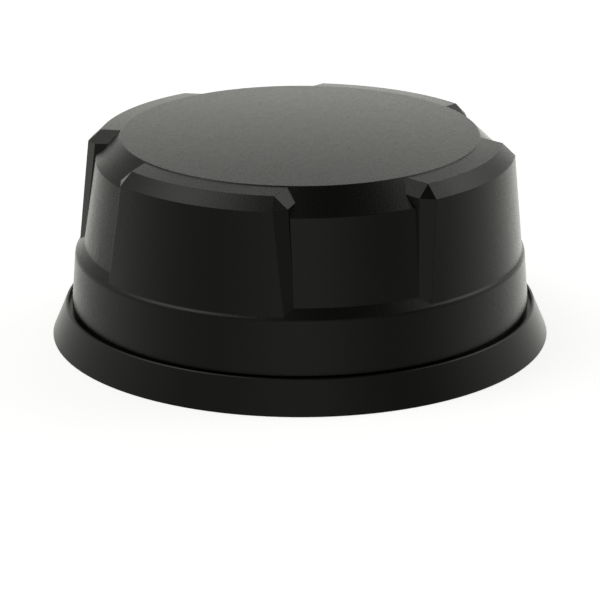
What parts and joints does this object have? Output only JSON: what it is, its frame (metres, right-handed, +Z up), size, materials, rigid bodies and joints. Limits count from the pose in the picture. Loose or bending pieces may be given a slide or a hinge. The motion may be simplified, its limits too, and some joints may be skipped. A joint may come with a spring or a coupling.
{
  "type": "gnss receiver",
  "caption": "Round black GNSS receiver with built-in antenna: domed radome with raised blocks on a flared base, pole thread, bolt inserts and capped connectors underneath.",
  "frame": {"origin": "on the vertical axis, at the plane of the rim's foot, where the receiver stands", "axes": "+Z up through the crown; -Y is one side between two raised blocks; +Y is the side of the two receptacles"},
  "size_m": [0.18, 0.18, 0.0755],
  "materials": {
    "radome": "matte",
    "base_coating": "matte",
    "seal_rubber": "matte",
    "stainless": "satin",
    "brass": "satin",
    "receptacle_metal": "satin",
    "insulator": "satin",
    "cap_metal": "satin",
    "wire_sleeve": "matte",
    "vent_plastic": "satin",
    "membrane": "matte",
    "plate_metal": "satin",
    "circuit_board": "satin",
    "chip_black": "satin",
    "module_can": "satin",
    "thermal_pad": "matte",
    "antenna_aluminium": "satin",
    "patch_dielectric": "matte",
    "patch_copper": "satin"
  },
  "bodies": {
    "receiver": {"radome": "radome", "base_housing": "base_coating", "housing_seal": "seal_rubber", "connector_1_seal": "seal_rubber", "connector_2_seal": "seal_rubber", "radome_screws": "stainless", "antenna_screws": "stainless", "thread_insert": "stainless", "lower_standoffs": "stainless", "upper_standoffs": "stainless", "mount_inserts": "brass", "feed_pins": "brass", "connector_1_pins": "brass", "connector_2_pins": "brass", "coax_sockets": "brass", "coax_plugs": "brass", "connector_1_body": "receptacle_metal", "connector_2_body": "receptacle_metal", "connector_1_nut": "receptacle_metal", "connector_2_nut": "receptacle_metal", "connector_1_insert": "insulator", "connector_2_insert": "insulator", "board_headers": "insulator", "harness_plugs": "insulator", "harness_1": "wire_sleeve", "harness_2": "wire_sleeve", "coax_jumper": "wire_sleeve", "vent_body": "vent_plastic", "patch_screw": "vent_plastic", "cell_holder": "vent_plastic", "vent_membrane": "membrane", "rating_plate": "plate_metal", "receiver_board": "circuit_board", "lna_board": "circuit_board", "wireless_antenna": "circuit_board", "processor": "chip_black", "gnss_chips": "chip_black", "memory_chips": "chip_black", "power_coils": "chip_black", "imu_module": "chip_black", "radio_module": "module_can", "shield_cans": "module_can", "lna_shield": "module_can", "backup_cell": "module_can", "board_capacitors": "module_can", "thermal_pad": "thermal_pad", "antenna_plate": "antenna_aluminium", "lower_patch_block": "patch_dielectric", "upper_patch_block": "patch_dielectric", "lower_patch_plate": "patch_copper", "upper_patch_plate": "patch_copper"},
    "cap_1_washer": {"cap_seal_1": "seal_rubber"},
    "cap_1": {"dust_cap_1": "cap_metal"},
    "cap_2_washer": {"cap_seal_2": "seal_rubber"},
    "cap_2": {"dust_cap_2": "cap_metal"}
  },
  "joints": [
    {"name": "cap_1_lift", "type": "slide", "parent": "receiver", "child": "cap_1_washer", "axis": [0, 0, -1], "range_m": [0, 0.0045]},
    {"name": "cap_1_turn", "type": "hinge", "parent": "cap_1_washer", "child": "cap_1", "pos_m": [-0.0199, 0.04804, 0.009], "axis": [0, 0, -1], "range_deg": [0, 1620]},
    {"name": "cap_2_lift", "type": "slide", "parent": "receiver", "child": "cap_2_washer", "axis": [0, 0, -1], "range_m": [0, 0.0045]},
    {"name": "cap_2_turn", "type": "hinge", "parent": "cap_2_washer", "child": "cap_2", "pos_m": [0.0199, 0.04804, 0.009], "axis": [0, 0, -1], "range_deg": [0, 1620]}
  ],
  "couplings": [
    {"joint": "cap_1_lift", "follows": "cap_1_turn", "m_per_rad": 0.00015915},
    {"joint": "cap_2_lift", "follows": "cap_2_turn", "m_per_rad": 0.00015915}
  ]
}
